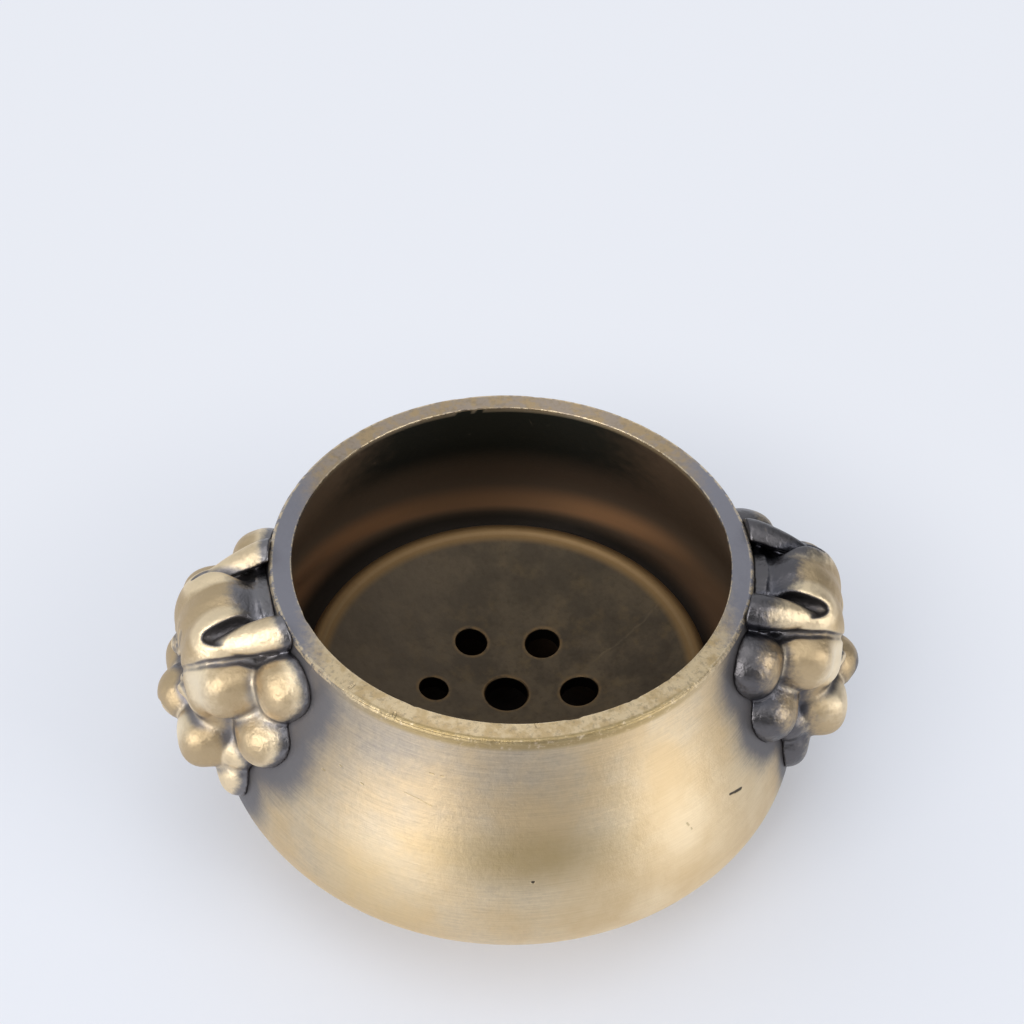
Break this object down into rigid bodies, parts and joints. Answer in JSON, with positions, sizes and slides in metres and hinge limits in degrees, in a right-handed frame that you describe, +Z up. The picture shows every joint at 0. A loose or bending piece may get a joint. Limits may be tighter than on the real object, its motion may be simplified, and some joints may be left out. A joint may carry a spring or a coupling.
{
  "type": "incense stick holder",
  "caption": "Squat round censer bowl in antique brass with a lion mask on each shoulder and a loose dished plate with graduated holes for incense sticks.",
  "frame": {"origin": "middle of the foot's underside, on the surface that the holder stands on", "axes": "+Z up through the mouth, +X towards the right-hand lion mask, -Y towards the front"},
  "size_m": [0.0628, 0.0536, 0.0304],
  "materials": {
    "bowl_brass": "satin brushed antique brass, dark inside",
    "mask_brass": "cast antique brass, bright high points and dark recesses",
    "plate_brass": "dull dark antique brass with a worn golden lip"
  },
  "bodies": {
    "bowl": {"bowl_body": "bowl_brass", "lion_mask_left": "mask_brass", "lion_mask_right": "mask_brass"},
    "plate": {"stick_plate": "plate_brass"}
  },
  "joints": [
    {"name": "plate_lift", "type": "slide", "parent": "bowl", "child": "plate", "axis": [0, 0, 1], "range_m": [0, 0.03]}
  ]
}
